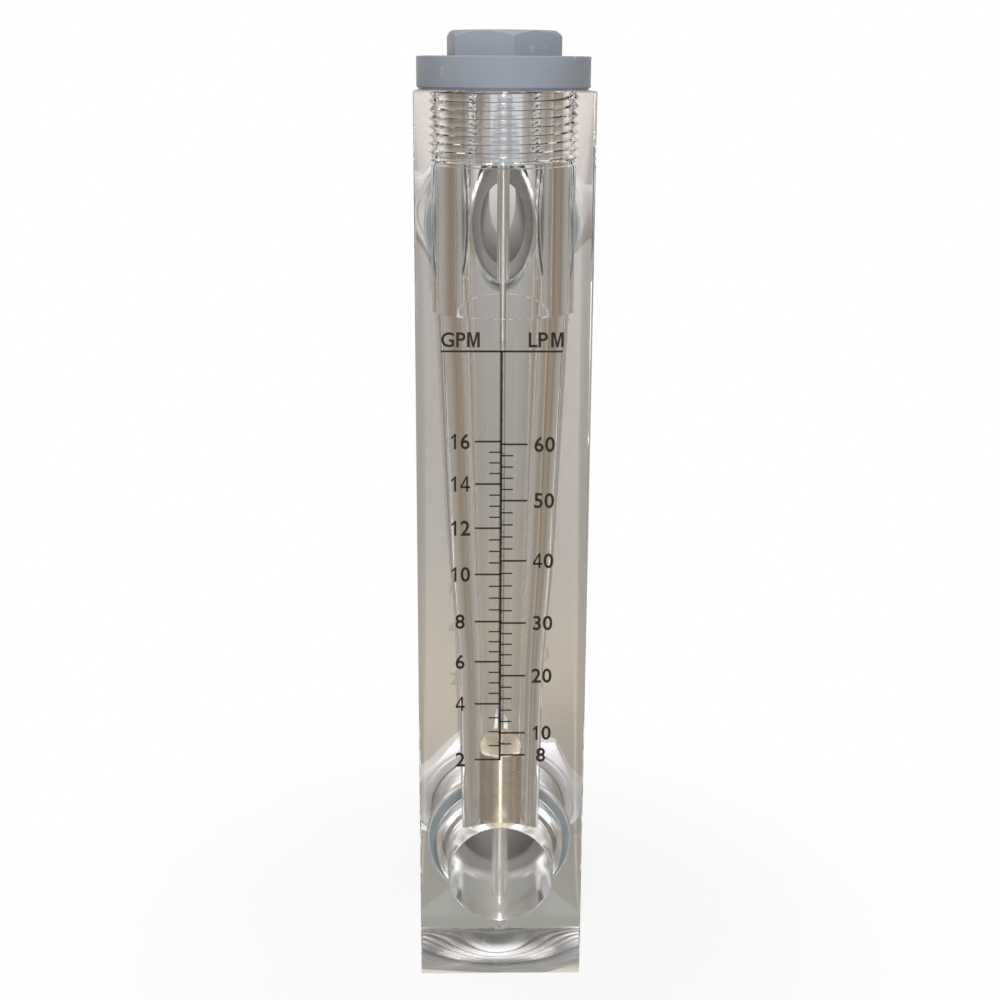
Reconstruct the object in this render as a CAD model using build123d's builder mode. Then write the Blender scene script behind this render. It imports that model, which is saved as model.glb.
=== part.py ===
from build123d import *
import os
from math import radians, sqrt, tan

# Panel mount flow meter: a clear block with a tapered metering bore, a float on a guide rod, a screwed top
# plug and two rear connectors that pass through a panel. The origin is the centre of the block's base, +Z runs
# up the bore, the scale faces -Y and the connectors point along +Y. Sizes are in millimetres.

# Clear block
block_width = 43.5
block_depth = block_width
block_height = 236.4
block_edge_break = 0.4

# Fits: radial gap of a turning or sliding fit, radial gap of a piece that is fixed, and end gap in a blind hole
running_gap = 0.1
fixed_gap = 0.03
end_gap = 0.3

# Top plug and its thread (36 mm, 2 mm pitch), drawn plain at its pitch diameter
plug_side_wall = 4.35
plug_thread_diameter = block_width - 2 * plug_side_wall
plug_shank_length = 17.5
plug_thread_runout = 1.0
plug_shank_chamfer = 1.0
plug_flange_inset = 0.1
plug_flange_diameter = block_width - plug_flange_inset
plug_flange_thickness = 8.0
plug_flange_chamfer = 0.7
plug_hex_across_flats = 26.5
plug_hex_height = 6.1
plug_hex_turn = 8.0
bore_mouth_chamfer = 0.6

# Seal under the plug's flange, lying in a groove of the flange
plug_seal_gap = 2.0
plug_seal_inner_diameter = plug_thread_diameter + plug_seal_gap
plug_seal_width = 2.3
plug_seal_height = 1.6

# Metering bore: an upper chamber and three cones, each given where it ends, below the top of the block
chamber_thread_step = 0.4
chamber_diameter = plug_thread_diameter - chamber_thread_step
chamber_depth = 55.0
metering_step = 2.1
metering_top_diameter = chamber_diameter - metering_step
first_cone_depth = 120.0
first_cone_diameter = 26.6
second_cone_depth = 149.0
second_cone_diameter = 22.2
metering_exit_diameter = 19.9

# Ports in the back of the block, with one inch pipe threads drawn plain at their pitch diameter
outlet_depth = 36.2
inlet_height = 28.4
port_side_wall = 5.15
barrel_diameter = block_width - 2 * port_side_wall
thread_pitch_step = 1.5
port_thread_diameter = barrel_diameter - thread_pitch_step
port_thread_depth = 14.4
port_seal_step = 4.3
port_seal_diameter = barrel_diameter + port_seal_step
port_seal_depth = 2.0
inlet_chamber_step = 3.5
inlet_chamber_diameter = port_thread_diameter - inlet_chamber_step
inlet_chamber_front_wall = 6.6

# Guide rod, its blind hole in the floor of the inlet, and the two stop sleeves on it
rod_diameter = 2.4
rod_hole_diameter = 3.0
rod_hole_floor = 6.9
rod_in_plug = 10.0
rod_end_chamfer = 0.3
upper_sleeve_diameter = 4.4
upper_sleeve_length = 31.1
lower_sleeve_diameter = 4.2
lower_sleeve_length = 26.0

# Float
float_diameter = 17.56
float_height = 21.2
float_top_edge = 0.5
float_bottom_edge = 0.9

# Rear connectors: block thread, collar on the seal, and the threaded barrel that goes through the panel
connector_wall = 6.1
connector_bore_diameter = barrel_diameter - 2 * connector_wall
connector_block_length = 7.0
connector_block_chamfer = 1.2
collar_diameter = port_seal_diameter
collar_thickness = 2.0
barrel_length = 39.0
barrel_chamfer = 1.4
connector_mouth_chamfer = 1.0

# Panel washer and panel nut, standing off the block where the panel leaves them
washer_width = 2.4
washer_outer_diameter = barrel_diameter + 2 * washer_width
washer_thickness = 1.0
washer_stand_off = 19.0
nut_wall = 3.9
nut_across_flats = barrel_diameter + 2 * nut_wall
nut_thickness = 8.0
nut_mouth_chamfer = 0.8
nut_turn = 8.0

# Every hexagon has its corners turned off at this angle, starting inside its flats by the given share
hex_chamfer_angle = 30.0
hex_chamfer_start = 0.98

# Printed scale on the front face. Each mark gives its reading and its depth below the top of the block.
ink_thickness = 0.1
scale_offset = -0.5
scale_bar_depth = 62.2
scale_bar_length = 30.0
scale_bar_width = 0.5
scale_line_width = 0.55
major_mark_length = 6.6
major_mark_width = 0.36
minor_mark_length = 3.0
minor_mark_width = 0.26
gallon_marks = [
    (16, 85.05), (14, 96.07), (12, 107.71), (10, 120.08), (8, 132.93), (6, 144.04), (4, 155.87), (2, 171.79),
]
gallon_step = 0.5
litre_marks = [(60, 85.77), (50, 100.42), (40, 116.43), (30, 133.34), (20, 147.96), (10, 164.15), (8, 170.49)]
litre_steps = [2, 2, 2, 2, 2, 1]

# Levels and places that follow from the sizes above
front_y = -block_depth / 2
rear_y = block_depth / 2
outlet_z = block_height - outlet_depth
plug_shank_end_z = block_height - plug_shank_length
flange_top_z = block_height + plug_flange_thickness
seal_groove_inner_radius = plug_seal_inner_diameter / 2 - running_gap
seal_groove_outer_radius = plug_seal_inner_diameter / 2 + plug_seal_width + running_gap
inlet_chamber_radius = inlet_chamber_diameter / 2
inlet_chamber_depth = block_depth - inlet_chamber_front_wall
metering_exit_z = inlet_height + sqrt(inlet_chamber_radius**2 - (metering_exit_diameter / 2) ** 2)
sleeve_foot_z = inlet_height - sqrt(inlet_chamber_radius**2 - (lower_sleeve_diameter / 2) ** 2)
float_rest_z = sleeve_foot_z + lower_sleeve_length
collar_back_y = rear_y + collar_thickness
barrel_end_y = collar_back_y + barrel_length
washer_front_y = rear_y + washer_stand_off
washer_back_y = washer_front_y + washer_thickness

os.makedirs("parts", exist_ok=True)


def write_part(builder, name):
    """Label a finished piece and write it to its own file."""
    builder.part.label = name
    export_step(builder.part, f"parts/{name}.step")


def rear_plane(y, port_z):
    """Plane across a port's axis, facing away from the block."""
    return Plane(origin=(0, y, port_z), x_dir=(1, 0, 0), z_dir=(0, 1, 0))


def cut_hex_corners(across_flats, base, outward):
    """Turn the corners off the end of a hexagon that lies on the plane base and faces along outward."""
    start_radius = across_flats / 2 * hex_chamfer_start
    outer_radius = across_flats * 0.6
    drop = (outer_radius - start_radius) * tan(radians(hex_chamfer_angle))
    with BuildSketch(base) as corner_section:
        with BuildLine():
            Polyline(
                (start_radius, 0),
                (outer_radius, -drop * outward),
                (outer_radius, outward),
                (start_radius, outward),
                close=True,
            )
        make_face()
    revolve(corner_section.sketch, axis=Axis(base.origin, base.y_dir), mode=Mode.SUBTRACT)


# Clear block with the metering bore, the two ports and the rod's blind hole
with BuildPart() as meter_body:
    with BuildSketch(Plane.XY):
        Rectangle(block_width, block_depth)
    extrude(amount=block_height)
    chamfer(meter_body.edges(), block_edge_break)
    thread_radius = plug_thread_diameter / 2
    thread_end_z = plug_shank_end_z - plug_thread_runout
    with BuildSketch(Plane.XZ):
        with BuildLine():
            Polyline(
                (0, inlet_height),
                (metering_exit_diameter / 2, inlet_height),
                (metering_exit_diameter / 2, metering_exit_z),
                (second_cone_diameter / 2, block_height - second_cone_depth),
                (first_cone_diameter / 2, block_height - first_cone_depth),
                (metering_top_diameter / 2, block_height - chamber_depth),
                (chamber_diameter / 2, block_height - chamber_depth),
                (chamber_diameter / 2, thread_end_z),
                (thread_radius, thread_end_z),
                (thread_radius, block_height - bore_mouth_chamfer),
                (thread_radius + bore_mouth_chamfer, block_height),
                (0, block_height),
                close=True,
            )
        make_face()
    revolve(axis=Axis.Z, mode=Mode.SUBTRACT)
    for port_z in (inlet_height, outlet_z):
        with Locations(rear_plane(rear_y, port_z)):
            CounterBoreHole(
                radius=port_thread_diameter / 2,
                counter_bore_radius=port_seal_diameter / 2,
                counter_bore_depth=port_seal_depth,
                depth=port_thread_depth,
            )
    with Locations(rear_plane(rear_y, inlet_height)):
        Hole(radius=inlet_chamber_radius, depth=inlet_chamber_depth)
    with Locations((0, 0, inlet_height)):
        Hole(radius=rod_hole_diameter / 2, depth=inlet_height - rod_hole_floor)
write_part(meter_body, "meter_body")


# Printed scale: one bar, one upright line, and the marks to its left in gallons and to its right in litres
def mark_depths(marks, steps):
    """Yield each mark's depth and whether it is a numbered one; the small marks divide each interval evenly."""
    for (reading, depth), (next_reading, next_depth), step in zip(marks, marks[1:], steps):
        yield depth, True
        count = round((reading - next_reading) / step)
        for index in range(1, count):
            yield depth + (next_depth - depth) * index / count, False
    yield marks[-1][1], True


with BuildPart() as scale_print:
    face_plane = Plane(origin=(0, front_y, block_height), x_dir=(1, 0, 0), z_dir=(0, -1, 0))
    with BuildSketch(face_plane):
        with Locations((scale_offset, -scale_bar_depth)):
            Rectangle(scale_bar_length, scale_bar_width)
        line_bottom = gallon_marks[-1][1] + major_mark_width / 2
        with Locations((scale_offset, -scale_bar_depth)):
            Rectangle(scale_line_width, line_bottom - scale_bar_depth, align=(Align.CENTER, Align.MAX))
        gallon_steps = [gallon_step] * (len(gallon_marks) - 1)
        left_row = (gallon_marks, gallon_steps, Align.MAX)
        right_row = (litre_marks, litre_steps, Align.MIN)
        for marks, steps, side in (left_row, right_row):
            for depth, numbered in mark_depths(marks, steps):
                mark_length = major_mark_length if numbered else minor_mark_length
                mark_width = major_mark_width if numbered else minor_mark_width
                with Locations((scale_offset, -depth)):
                    Rectangle(mark_length, mark_width, align=(side, Align.CENTER))
    extrude(amount=ink_thickness)
write_part(scale_print, "scale_print")

# Top plug: threaded shank, round flange with a seal groove under it, and a hexagon for the spanner
with BuildPart() as top_plug:
    shank_radius = plug_thread_diameter / 2 - running_gap
    flange_radius = plug_flange_diameter / 2
    with BuildSketch(Plane.XZ):
        with BuildLine():
            Polyline(
                (0, plug_shank_end_z),
                (shank_radius - plug_shank_chamfer, plug_shank_end_z),
                (shank_radius, plug_shank_end_z + plug_shank_chamfer),
                (shank_radius, block_height),
                (seal_groove_inner_radius, block_height),
                (seal_groove_inner_radius, block_height + plug_seal_height),
                (seal_groove_outer_radius, block_height + plug_seal_height),
                (seal_groove_outer_radius, block_height),
                (flange_radius - plug_flange_chamfer, block_height),
                (flange_radius, block_height + plug_flange_chamfer),
                (flange_radius, flange_top_z),
                (0, flange_top_z),
                close=True,
            )
        make_face()
    revolve(axis=Axis.Z)
    with BuildSketch(Plane.XY.offset(flange_top_z)):
        RegularPolygon(plug_hex_across_flats / 2, 6, major_radius=False, rotation=plug_hex_turn + 30)
    extrude(amount=plug_hex_height)
    hex_end = Plane(origin=(0, 0, flange_top_z + plug_hex_height), x_dir=(1, 0, 0), z_dir=(0, -1, 0))
    cut_hex_corners(plug_hex_across_flats, hex_end, 1)
    with Locations(Plane(origin=(0, 0, plug_shank_end_z), x_dir=(1, 0, 0), z_dir=(0, 0, -1))):
        Hole(radius=rod_diameter / 2 + fixed_gap, depth=rod_in_plug + end_gap)
write_part(top_plug, "top_plug")

# Seal ring in the flange's groove, resting on the block
with BuildPart() as plug_seal:
    with BuildSketch(Plane.XY.offset(block_height)):
        Circle(plug_seal_inner_diameter / 2 + plug_seal_width)
        Circle(plug_seal_inner_diameter / 2, mode=Mode.SUBTRACT)
    extrude(amount=plug_seal_height)
write_part(plug_seal, "plug_seal")

# Guide rod, fixed in the plug, with its foot in the blind hole
with BuildPart() as guide_rod:
    rod_foot_z = rod_hole_floor + end_gap
    with BuildSketch(Plane.XY.offset(rod_foot_z)):
        Circle(rod_diameter / 2)
    extrude(amount=plug_shank_end_z + rod_in_plug - rod_foot_z)
    chamfer(guide_rod.edges().filter_by(GeomType.CIRCLE), rod_end_chamfer)
write_part(guide_rod, "guide_rod")


def make_sleeve(name, outer_diameter, foot_z, length):
    """Plain tube on the guide rod that stops the float."""
    with BuildPart() as sleeve:
        with BuildSketch(Plane.XY.offset(foot_z)):
            Circle(outer_diameter / 2)
            Circle(rod_diameter / 2 + running_gap, mode=Mode.SUBTRACT)
        extrude(amount=length)
    write_part(sleeve, name)


upper_sleeve_foot_z = plug_shank_end_z - upper_sleeve_length
make_sleeve("upper_stop_sleeve", upper_sleeve_diameter, upper_sleeve_foot_z, upper_sleeve_length)
make_sleeve("lower_stop_sleeve", lower_sleeve_diameter, sleeve_foot_z, lower_sleeve_length)

# Float, turned, with a bore that runs on the rod
with BuildPart() as meter_float:
    with BuildSketch(Plane.XY.offset(float_rest_z)):
        Circle(float_diameter / 2)
        Circle(rod_diameter / 2 + running_gap, mode=Mode.SUBTRACT)
    extrude(amount=float_height)
    rims = meter_float.edges().filter_by(GeomType.CIRCLE).group_by(SortBy.RADIUS)[-1].sort_by(Axis.Z)
    chamfer(rims[-1], float_top_edge)
    chamfer(rims[0], float_bottom_edge)
write_part(meter_float, "float")


def turn_round_port(port_z, points):
    """Turn a section, given as radius and place along Y, round a port's axis."""
    with BuildSketch(Plane.YZ) as section:
        with BuildLine():
            Polyline(*[(y, port_z + radius) for radius, y in points], close=True)
        make_face()
    revolve(section.sketch, axis=Axis((0, 0, port_z), (0, 1, 0)))


def rear_end_plane(y, port_z):
    """Plane along a port's axis whose own Y runs away from the block, for turning off a hexagon's corners."""
    return Plane(origin=(0, y, port_z), x_dir=(1, 0, 0), z_dir=(0, 0, 1))


def make_connector(name, port_z):
    """Rear connector, turned from one bar: block thread, collar and panel barrel around a straight bore."""
    block_radius = port_thread_diameter / 2 - fixed_gap
    bore_radius = connector_bore_diameter / 2
    barrel_radius = barrel_diameter / 2
    front_end_y = rear_y - connector_block_length
    with BuildPart() as connector:
        turn_round_port(
            port_z,
            [
                (bore_radius, front_end_y),
                (block_radius - connector_block_chamfer, front_end_y),
                (block_radius, front_end_y + connector_block_chamfer),
                (block_radius, rear_y),
                (collar_diameter / 2, rear_y),
                (collar_diameter / 2, collar_back_y),
                (barrel_radius, collar_back_y),
                (barrel_radius, barrel_end_y - barrel_chamfer),
                (barrel_radius - barrel_chamfer, barrel_end_y),
                (bore_radius + connector_mouth_chamfer, barrel_end_y),
                (bore_radius, barrel_end_y - connector_mouth_chamfer),
            ],
        )
    write_part(connector, name)


def make_port_seal(name, port_z):
    """Seal ring round the connector's thread, held in the counterbore by the connector's collar."""
    with BuildPart() as seal:
        with BuildSketch(rear_plane(rear_y - port_seal_depth, port_z)):
            Circle(port_seal_diameter / 2 - fixed_gap)
            Circle(port_thread_diameter / 2, mode=Mode.SUBTRACT)
        extrude(amount=port_seal_depth)
    write_part(seal, name)


def make_washer(name, port_z):
    """Flat washer between the panel and the nut."""
    with BuildPart() as washer:
        with BuildSketch(rear_plane(washer_front_y, port_z)):
            Circle(washer_outer_diameter / 2)
            Circle(barrel_diameter / 2 + running_gap, mode=Mode.SUBTRACT)
        extrude(amount=washer_thickness)
    write_part(washer, name)


def make_nut(name, port_z):
    """Hexagonal panel nut with both ends turned off and a chamfer at each mouth of its bore."""
    bore_radius = barrel_diameter / 2 + running_gap
    with BuildPart() as nut:
        with BuildSketch(rear_plane(washer_back_y, port_z)):
            RegularPolygon(nut_across_flats / 2, 6, major_radius=False, rotation=nut_turn)
            Circle(bore_radius, mode=Mode.SUBTRACT)
        extrude(amount=nut_thickness)
        chamfer(nut.edges().filter_by(GeomType.CIRCLE), nut_mouth_chamfer)
        cut_hex_corners(nut_across_flats, rear_end_plane(washer_back_y + nut_thickness, port_z), 1)
        cut_hex_corners(nut_across_flats, rear_end_plane(washer_back_y, port_z), -1)
    write_part(nut, name)


for side_name, side_z in (("inlet", inlet_height), ("outlet", outlet_z)):
    make_connector(f"{side_name}_connector", side_z)
    make_port_seal(f"{side_name}_seal", side_z)
    make_washer(f"{side_name}_panel_washer", side_z)
    make_nut(f"{side_name}_panel_nut", side_z)
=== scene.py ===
import math

import bmesh
import bpy
from mathutils import Matrix, Vector


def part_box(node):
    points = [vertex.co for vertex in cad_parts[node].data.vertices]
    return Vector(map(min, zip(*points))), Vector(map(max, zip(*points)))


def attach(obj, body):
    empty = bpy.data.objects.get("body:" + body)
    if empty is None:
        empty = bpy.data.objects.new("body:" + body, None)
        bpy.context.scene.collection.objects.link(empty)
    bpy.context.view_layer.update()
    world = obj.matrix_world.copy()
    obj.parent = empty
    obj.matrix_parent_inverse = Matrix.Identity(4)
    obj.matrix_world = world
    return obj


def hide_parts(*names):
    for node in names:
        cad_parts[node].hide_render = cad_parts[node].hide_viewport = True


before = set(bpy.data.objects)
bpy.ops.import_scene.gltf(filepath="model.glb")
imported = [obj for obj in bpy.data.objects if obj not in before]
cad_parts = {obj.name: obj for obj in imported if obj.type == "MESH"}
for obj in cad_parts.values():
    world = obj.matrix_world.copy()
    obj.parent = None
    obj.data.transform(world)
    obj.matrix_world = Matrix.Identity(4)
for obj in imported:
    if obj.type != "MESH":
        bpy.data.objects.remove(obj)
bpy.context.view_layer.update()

# All lengths below are millimetres; new_piece turns a finished mesh into metres.
MM = 0.001


def node_box(node):
    """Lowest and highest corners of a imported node, in millimetres."""
    low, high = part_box(node)
    return low / MM, high / MM


block_low, block_high = node_box("meter_body")
plug_low, plug_high = node_box("top_plug")
block_top = block_high.z
front_y = block_low.y
rear_y = block_high.y

# Block: polished edges, thread in its mouth, metering bore in cones, and two threaded ports
block_edge_radius = 0.45
mouth_chamfer = 0.9
thread_pitch = 2.0
thread_crest_radius = 16.9
thread_root_radius = 17.8
thread_root_flat = 0.12
thread_flank_angle = 45.0
thread_flank_sink = 0.02
thread_right_side_depth = 2.46
thread_depth = 18.6
mouth_thread_below = 8
mouth_thread_turns = 9.6
chamber_radius = 17.2
chamber_depth = 55.0
bore_cones = ((55.0, 16.15), (120.0, 13.3), (149.0, 11.1), (199.0, 9.95))
inlet_z = 28.4
outlet_z = block_top - 36.2
port_pitch = 2.309
port_crest_radius = 15.25
port_root_radius = 16.55
port_root_flat = 0.3
port_depth = 14.4
port_thread_runout = 1.6
seal_pocket_radius = 18.75
seal_pocket_depth = 2.0
chamber_end_radius = 14.1
chamber_front_y = front_y + 6.6
chamber_end_round = 0.4
rod_hole_radius = 1.5
rod_hole_floor = 6.9
rod_hole_round = 0.3

# Plug
plug_core_radius = 16.7
plug_crest_radius = 17.62
plug_crest_width = 0.15
plug_thread_below = 7
plug_thread_turns = 7.6
plug_end_chamfer = 0.6
flange_radius = plug_high.x
flange_edge_round = 0.35
flange_under_chamfer = 0.7
seal_inner_radius = 18.4
seal_width = 2.3
seal_height = 1.6
seal_gap = 0.1
seal_round = 0.75
hex_across_flats = 26.5
hex_turn = 8.0
hex_height = 6.1
hex_sink = 0.4
hex_face_share = 0.97
hex_drop_share = 1.45
hex_top_round = 1.2

# What the rod passes through
rod_bore_radius = 1.3
rod_end_round = 0.3
sleeve_round = 0.15
float_bore_chamfer = 0.25
float_foot_chamfer = 0.9
float_top_chamfer = 0.45
float_round = 0.12

# Rear connectors, nuts and washers
connector_bore_radius = 10.5
connector_core_radius = 15.0
connector_crest_radius = 16.4
connector_front_y = rear_y - 7.0
collar_radius = 18.7
collar_thickness = 2.0
barrel_core_radius = 15.2
barrel_crest_radius = 16.58
barrel_length = 39.0
connector_end_chamfer = 0.6
connector_mouth_chamfer = 1.0
barrel_end_chamfer = 0.8
crest_width = 0.25
block_thread_start = 0.8
block_thread_end = 2.2
panel_thread_margin = 1.2
# Painted shade: the connector's bore and its front end in the port take a darker steel
bore_shade_margin = 0.2
front_shade_end = 2.0
nut_across_flats = 41.0
nut_turn = 8.0
nut_face_share = 0.96
nut_mouth_chamfer = 1.2
nut_core_gap = 0.15
nut_groove_gap = 0.12
nut_groove_width = 0.35
nut_groove_turns = 7
washer_bore_radius = 16.7
washer_radius = 19.0
washer_round = 0.2
port_seal_inner_radius = 15.95
port_seal_outer_radius = 18.7
port_seal_round = 0.5

# Printed scale: reading and depth below the block's top for each numbered mark, and the small marks' steps
gallon_marks = [(16, 85.05), (14, 96.07), (12, 107.71), (10, 120.08), (8, 132.93), (6, 144.04), (4, 155.87),
                (2, 171.79)]
gallon_steps = [0.5] * 7
litre_marks = [(60, 85.77), (50, 100.42), (40, 116.43), (30, 133.34), (20, 147.96), (10, 164.15), (8, 170.49)]
litre_steps = [2, 2, 2, 2, 2, 1]
ink_gap = 0.012
ink_thickness = 0.08
ink_y = front_y - ink_gap - ink_thickness / 2
line_x = -0.5
line_width = 0.55
bar_depth = 62.2
bar_length = 30.0
bar_width = 0.5
major_length = 6.6
major_width = 0.46
minor_length = 3.0
minor_width = 0.35
gallon_number_x = -10.9
litre_number_x = 10.3
number_height = 4.0
digit_pitch = 2.75
one_width = 1.25
one_left = -0.75
four_width = 2.4
type_width = 0.95
type_boldness = 0.016
unit_height = 3.75
unit_depth = 59.3
unit_places = (("GP", -12.4, -9.0), ("LP", 8.45, 11.6))
unit_m_width = 3.1

# Characters drawn from listed outlines, 1 wide and 1 high
letter_m = [(0, 0), (0, 1), (0.3, 1), (0.5, 0.32), (0.7, 1), (1, 1), (1, 0), (0.79, 0), (0.79, 0.74),
            (0.58, 0), (0.42, 0), (0.21, 0.74), (0.21, 0)]
digit_one = [(0.55, 0), (1, 0), (1, 1), (0.68, 1), (0.36, 0.87), (0, 0.79), (0, 0.65), (0.28, 0.69),
             (0.55, 0.79)]
digit_four = ([(0.60, 0), (0.80, 0), (0.80, 1), (0.60, 1)], [(0, 0.23), (1, 0.23), (1, 0.36), (0, 0.36)],
              [(0, 0.3), (0.17, 0.3), (0.75, 1), (0.6, 1), (0, 0.37)])

# Steps in a turn of a turned piece, of a thread and of a nut
TURN_STEPS = 192
SLIM_STEPS = 64
HOLE_STEPS = 48
THREAD_STEPS = 144
NUT_STEPS = 120


# Meshes

def linked(name, data):
    """New object in the scene that holds a mesh, a curve, a lamp or a camera."""
    holder = bpy.data.objects.new(name, data)
    bpy.context.scene.collection.objects.link(holder)
    return holder


def new_piece(name, mesh):
    """Link a mesh made in millimetres as an object in metres, standing at the origin."""
    mesh.transform(Matrix.Scale(MM, 4))
    return linked(name, mesh)


def mesh_from(name, verts, faces):
    mesh = bpy.data.meshes.new(name)
    mesh.from_pydata([tuple(v) for v in verts], [], faces)
    shell = bmesh.new()
    shell.from_mesh(mesh)
    bmesh.ops.remove_doubles(shell, verts=shell.verts, dist=1e-5)
    bmesh.ops.recalc_face_normals(shell, faces=shell.faces)
    shell.to_mesh(mesh)
    shell.free()
    return mesh


def rounded(corners, radii, steps=4, closed=False):
    """Outline with an arc in place of each corner. radii is one radius for all corners, or one for each."""
    if not hasattr(radii, "__len__"):
        radii = [radii] * len(corners)
    points = []
    count = len(corners)
    for index, (corner, radius) in enumerate(zip(corners, radii)):
        here = Vector(corner)
        end_corner = not closed and index in (0, count - 1)
        if radius <= 0 or end_corner:
            points.append(here)
            continue
        before = Vector(corners[index - 1]) - here
        after = Vector(corners[(index + 1) % count]) - here
        half_angle = before.angle(after) / 2
        setback = min(radius / math.tan(half_angle), 0.45 * before.length, 0.45 * after.length)
        arc_radius = setback * math.tan(half_angle)
        start = here + before.normalized() * setback
        end = here + after.normalized() * setback
        inward = (before.normalized() + after.normalized()).normalized()
        centre = here + inward * (arc_radius / math.sin(half_angle))
        first = start - centre
        last = end - centre
        for step in range(steps + 1):
            share = step / steps
            direction = (first * (1 - share) + last * share).normalized()
            points.append(centre + direction * arc_radius)
    return points


def turned_mesh(name, outline, closed=False, steps=TURN_STEPS):
    """Turn an outline of (radius, height) round Z: closed for a ring, or open from the axis to the axis."""
    verts, rings = [], []
    for radius, height in outline:
        if radius < 1e-6:
            rings.append([len(verts)] * steps)
            verts.append((0, 0, height))
            continue
        rings.append(list(range(len(verts), len(verts) + steps)))
        for step in range(steps):
            angle = 2 * math.pi * step / steps
            verts.append((radius * math.cos(angle), radius * math.sin(angle), height))
    faces = []
    pairs = list(zip(rings, rings[1:] + rings[:1])) if closed else list(zip(rings, rings[1:]))
    for lower, upper in pairs:
        for step in range(steps):
            following = (step + 1) % steps
            corners = [lower[step], lower[following], upper[following], upper[step]]
            faces.append(list(dict.fromkeys(corners)))
    return mesh_from(name, verts, [face for face in faces if len(face) > 2])


def to_port(mesh, port_z, unit=1.0):
    """Lay a mesh made round Z along a port's axis, with its Z now along +Y. unit is its millimetre."""
    mesh.transform(Matrix.Translation((0, 0, port_z * unit)) @ Matrix.Rotation(math.radians(-90), 4, "X"))
    return mesh


def hex_mesh(name, across_flats, low, high, turn=0.0):
    """Plain hexagonal prism round Z, with a corner turned by the given angle from -Y towards +X."""
    corner_radius = across_flats / 2 / math.cos(math.radians(30))
    verts = []
    for height in (low, high):
        for side in range(6):
            angle = math.radians(60 * side + turn - 90)
            verts.append((corner_radius * math.cos(angle), corner_radius * math.sin(angle), height))
    faces = [[0, 1, 2, 3, 4, 5], [6, 7, 8, 9, 10, 11]]
    faces += [[side, (side + 1) % 6, (side + 1) % 6 + 6, side + 6] for side in range(6)]
    return mesh_from(name, verts, faces)


def baked(piece):
    """Turn a piece with modifiers into a plain mesh."""
    graph = bpy.context.evaluated_depsgraph_get()
    mesh = bpy.data.meshes.new_from_object(piece.evaluated_get(graph), depsgraph=graph)
    piece.modifiers.clear()
    old = piece.data
    piece.data = mesh
    bpy.data.meshes.remove(old)
    return piece


def cut(piece, tools, operation="DIFFERENCE"):
    """Cut a piece with closed tools, one after the other, and drop the tools."""
    for tool in tools:
        modifier = piece.modifiers.new("cut", "BOOLEAN")
        modifier.operation = operation
        modifier.solver = "EXACT"
        modifier.material_mode = "TRANSFER"
        modifier.object = tool
    baked(piece)
    for tool in tools:
        bpy.data.objects.remove(tool)
    return piece


def bevelled(piece, width, angle=30.0, segments=3):
    """Round a piece's sharp edges by a small radius."""
    modifier = piece.modifiers.new("edge", "BEVEL")
    modifier.width = width * MM
    modifier.segments = segments
    modifier.limit_method = "ANGLE"
    modifier.angle_limit = math.radians(angle)
    return baked(piece)


def smoothed(piece, angle=28.0):
    """Shade a piece smooth, apart from its edges above an angle."""
    piece.data.shade_smooth()
    piece.data.set_sharp_from_angle(angle=math.radians(angle))
    return piece


def joined(name, pieces):
    """Join several pieces into one."""
    for piece in pieces:
        piece.select_set(False)
    with bpy.context.temp_override(active_object=pieces[0], object=pieces[0], selected_objects=pieces,
                                   selected_editable_objects=pieces):
        bpy.ops.object.join()
    pieces[0].name = name
    pieces[0].data.name = name
    return pieces[0]


def finish_piece(piece, body, node, angle=28.0):
    """Shade a finished piece, let it ride on its body and stand for its node."""
    smoothed(piece, angle)
    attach(piece, body)
    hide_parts(node)
    return piece


# Node trees that make what repeats

def node_tree(name, sizes):
    """Empty Geometry Nodes tree with one named number for each size, and a material."""
    tree = bpy.data.node_groups.new(name, "GeometryNodeTree")
    tree.interface.new_socket("Geometry", in_out="INPUT", socket_type="NodeSocketGeometry")
    for size, kind in sizes:
        tree.interface.new_socket(size, in_out="INPUT", socket_type=f"NodeSocket{kind}")
    tree.interface.new_socket("Material", in_out="INPUT", socket_type="NodeSocketMaterial")
    tree.interface.new_socket("Geometry", in_out="OUTPUT", socket_type="NodeSocketGeometry")
    return tree, tree.nodes.new("NodeGroupInput"), tree.nodes.new("NodeGroupOutput")


def grown(name, tree, values):
    """Plain mesh of what a tree makes with the given values."""
    piece = linked(name, bpy.data.meshes.new(name))
    modifier = piece.modifiers.new("grow", "NODES")
    modifier.node_group = tree
    sockets = {item.name: item.identifier for item in tree.interface.items_tree if item.in_out == "INPUT"}
    for key, value in values.items():
        modifier[sockets[key]] = value
    return baked(piece)


def added(tree, kind, inputs=None, **settings):
    """Add a node, set its options, and set or link its inputs."""
    node = tree.nodes.new(kind)
    for key, value in settings.items():
        setattr(node, key, value)
    for key, value in (inputs or {}).items():
        if isinstance(value, bpy.types.NodeSocket):
            tree.links.new(value, node.inputs[key])
        else:
            node.inputs[key].default_value = value
    return node


def math_node(tree, operation, first, second=0.0):
    """Result of one Math node; each operand is a number or an output."""
    return added(tree, "ShaderNodeMath", {0: first, 1: second}, operation=operation).outputs[0]


def finish_tree(tree, given, result, geometry):
    """End a tree with real geometry in the given material."""
    real = added(tree, "GeometryNodeRealizeInstances", {"Geometry": geometry})
    coat = added(tree, "GeometryNodeSetMaterial", {
        "Geometry": real.outputs["Geometry"], "Material": given.outputs["Material"]})
    tree.links.new(coat.outputs["Geometry"], result.inputs["Geometry"])
    return tree


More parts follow.
